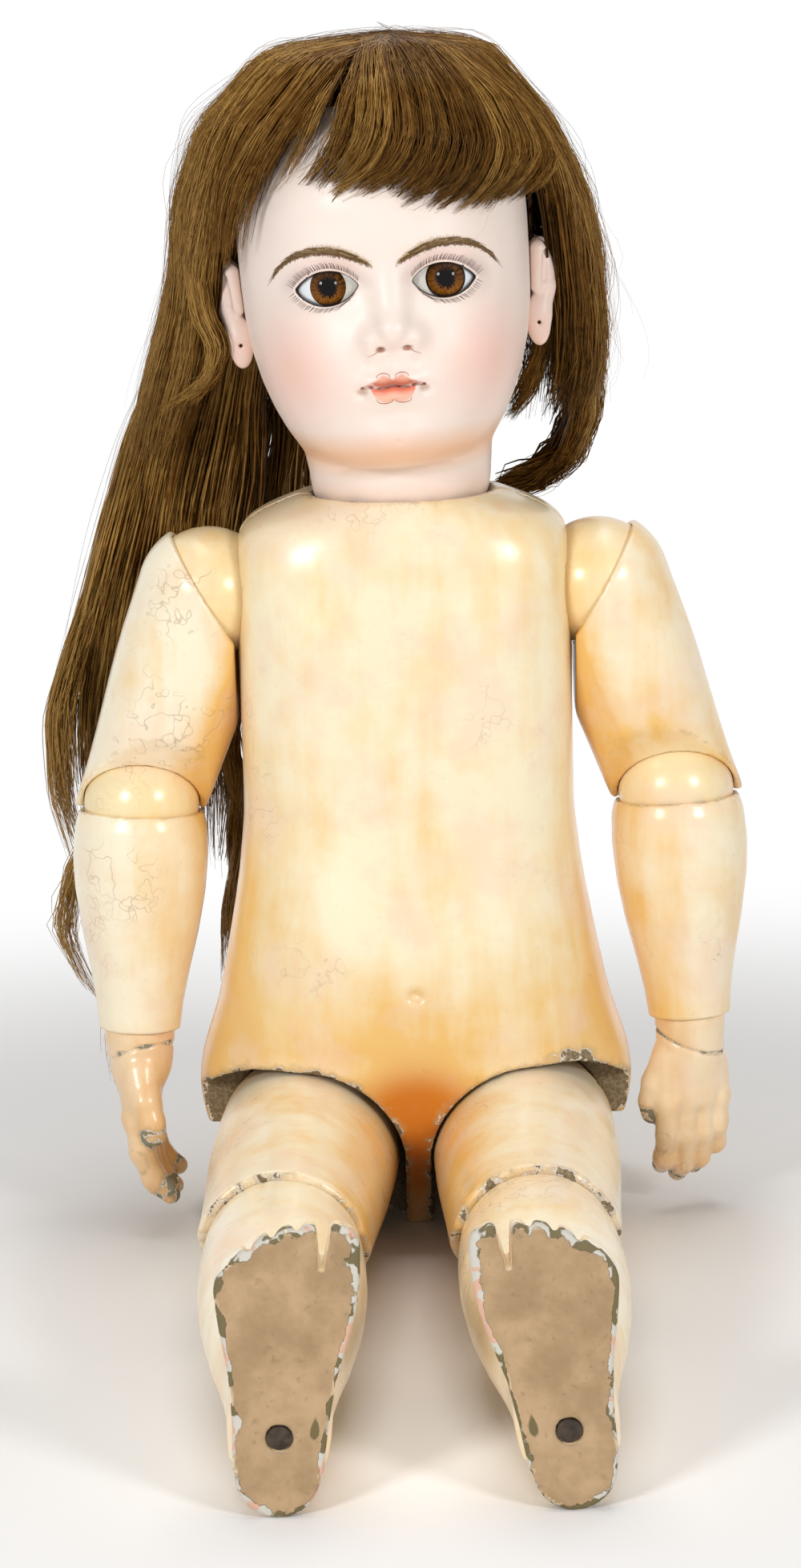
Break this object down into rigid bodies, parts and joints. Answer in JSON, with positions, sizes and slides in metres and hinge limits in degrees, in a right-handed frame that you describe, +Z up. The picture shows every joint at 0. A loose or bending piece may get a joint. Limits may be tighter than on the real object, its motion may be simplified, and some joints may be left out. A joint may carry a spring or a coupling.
{
  "type": "bisque doll",
  "caption": "Seated ball-jointed doll: bisque socket head with glass eyes and long brown wig, on a strung body of painted composition and wood that turns and bends at every joint",
  "frame": {"origin": "on the flat underside of the torso, below the neck's axis", "axes": "+Z up along the neck, -Y the way the doll faces, +X towards the doll's left hand"},
  "size_m": [0.2558, 0.3769, 0.4461],
  "materials": {
    "painted_composition": "glossy aged flesh paint over composition, crazed and chipped",
    "pale_bisque": "matt tinted bisque with painted features",
    "bare_wood": "plain turned wood",
    "dark_iron": "dull dark iron",
    "white_elastic": "covered elastic cord",
    "white_glass": "opaque white blown glass",
    "clear_brown_glass": "clear glass over a brown threaded iris",
    "plaster": "set plaster",
    "cork": "cut cork",
    "brown_hair": "long brown hair on a cap",
    "painted_wood": "glossy aged flesh paint over turned wood"
  },
  "bodies": {
    "torso": {"torso_front": "painted_composition", "torso_back": "painted_composition", "neck_ring": "bare_wood", "crossbar": "bare_wood", "neck_hook": "dark_iron", "arm_elastic": "white_elastic", "right_leg_elastic": "white_elastic", "left_leg_elastic": "white_elastic"},
    "neck": {"neck_button": "bare_wood", "neck_spring": "dark_iron", "neck_nut": "dark_iron"},
    "head": {"head": "pale_bisque", "right_ear": "pale_bisque", "left_ear": "pale_bisque", "right_eye": "white_glass", "left_eye": "white_glass", "right_eye_crown": "clear_brown_glass", "left_eye_crown": "clear_brown_glass", "eye_plaster": "plaster", "cork_pate": "cork", "wig_crown": "brown_hair", "right_hair_length": "brown_hair", "left_hair_length": "brown_hair", "back_hair_length": "brown_hair"},
    "right_shoulder": {"right_shoulder_ball": "painted_wood"},
    "right_upper_arm": {"right_upper_arm": "painted_composition", "right_arm_cord": "white_elastic"},
    "right_forearm": {"right_elbow_ball": "painted_wood", "right_forearm": "painted_composition", "right_wrist_cord": "white_elastic"},
    "right_hand": {"right_hand": "painted_composition"},
    "right_hip": {"right_hip_ball": "painted_wood"},
    "right_thigh": {"right_thigh": "painted_composition", "right_thigh_cord": "white_elastic"},
    "right_lower_leg": {"right_knee_ball": "painted_wood", "right_lower_leg": "painted_composition", "right_heel_plug": "dark_iron"},
    "left_shoulder": {"left_shoulder_ball": "painted_wood"},
    "left_upper_arm": {"left_upper_arm": "painted_composition", "left_arm_cord": "white_elastic"},
    "left_forearm": {"left_elbow_ball": "painted_wood", "left_forearm": "painted_composition", "left_wrist_cord": "white_elastic"},
    "left_hand": {"left_hand": "painted_composition"},
    "left_hip": {"left_hip_ball": "painted_wood"},
    "left_thigh": {"left_thigh": "painted_composition", "left_thigh_cord": "white_elastic"},
    "left_lower_leg": {"left_knee_ball": "painted_wood", "left_lower_leg": "painted_composition", "left_heel_plug": "dark_iron"}
  },
  "joints": [
    {"name": "head_turn", "type": "hinge", "parent": "torso", "child": "neck", "pos_m": [0, 0, 0.288], "axis": [0, 0, 1], "range_deg": [-60, 60], "deforming": ["right_hair_length", "left_hair_length", "back_hair_length"]},
    {"name": "head_nod", "type": "hinge", "parent": "neck", "child": "head", "pos_m": [0, 0, 0.288], "axis": [1, 0, 0], "range_deg": [-8, 10]},
    {"name": "right_shoulder_swing", "type": "hinge", "parent": "torso", "child": "right_shoulder", "pos_m": [-0.072, 0, 0.243], "axis": [-1, 0, 0], "range_deg": [-30, 100]},
    {"name": "right_shoulder_raise", "type": "hinge", "parent": "right_shoulder", "child": "right_upper_arm", "pos_m": [-0.072, 0, 0.243], "axis": [0, 1, 0], "range_deg": [0, 50]},
    {"name": "right_elbow_bend", "type": "hinge", "parent": "right_upper_arm", "child": "right_forearm", "pos_m": [-0.10004, 0, 0.16382], "axis": [-1, 0, 0], "range_deg": [0, 50]},
    {"name": "right_wrist_turn", "type": "hinge", "parent": "right_forearm", "child": "right_hand", "pos_m": [-0.10387, -0.00614, 0.07612], "axis": [-0.0435, -0.0698, -0.9966], "range_deg": [-60, 60]},
    {"name": "right_hip_swing", "type": "hinge", "parent": "torso", "child": "right_hip", "pos_m": [-0.04, -0.012, 0.0356], "axis": [1, 0, 0], "range_deg": [0, 90]},
    {"name": "right_hip_splay", "type": "hinge", "parent": "right_hip", "child": "right_thigh", "pos_m": [-0.04, -0.012, 0.0356], "axis": [0, 0, -1], "range_deg": [-3, 11]},
    {"name": "right_knee_bend", "type": "hinge", "parent": "right_thigh", "child": "right_lower_leg", "pos_m": [-0.04781, -0.13976, 0.0356], "axis": [0.9981, -0.061, 0], "range_deg": [0, 75]},
    {"name": "left_shoulder_swing", "type": "hinge", "parent": "torso", "child": "left_shoulder", "pos_m": [0.072, 0, 0.243], "axis": [-1, 0, 0], "range_deg": [-30, 100]},
    {"name": "left_shoulder_raise", "type": "hinge", "parent": "left_shoulder", "child": "left_upper_arm", "pos_m": [0.072, 0, 0.243], "axis": [0, -1, 0], "range_deg": [0, 50]},
    {"name": "left_elbow_bend", "type": "hinge", "parent": "left_upper_arm", "child": "left_forearm", "pos_m": [0.10004, 0, 0.16382], "axis": [-1, 0, 0], "range_deg": [0, 50]},
    {"name": "left_wrist_turn", "type": "hinge", "parent": "left_forearm", "child": "left_hand", "pos_m": [0.10387, -0.00614, 0.07612], "axis": [0.0435, -0.0698, -0.9966], "range_deg": [-60, 60]},
    {"name": "left_hip_swing", "type": "hinge", "parent": "torso", "child": "left_hip", "pos_m": [0.04, -0.012, 0.0356], "axis": [1, 0, 0], "range_deg": [0, 90]},
    {"name": "left_hip_splay", "type": "hinge", "parent": "left_hip", "child": "left_thigh", "pos_m": [0.04, -0.012, 0.0356], "axis": [0, 0, 1], "range_deg": [0, 14]},
    {"name": "left_knee_bend", "type": "hinge", "parent": "left_thigh", "child": "left_lower_leg", "pos_m": [0.04, -0.14, 0.0356], "axis": [1, 0, 0], "range_deg": [0, 75]}
  ]
}
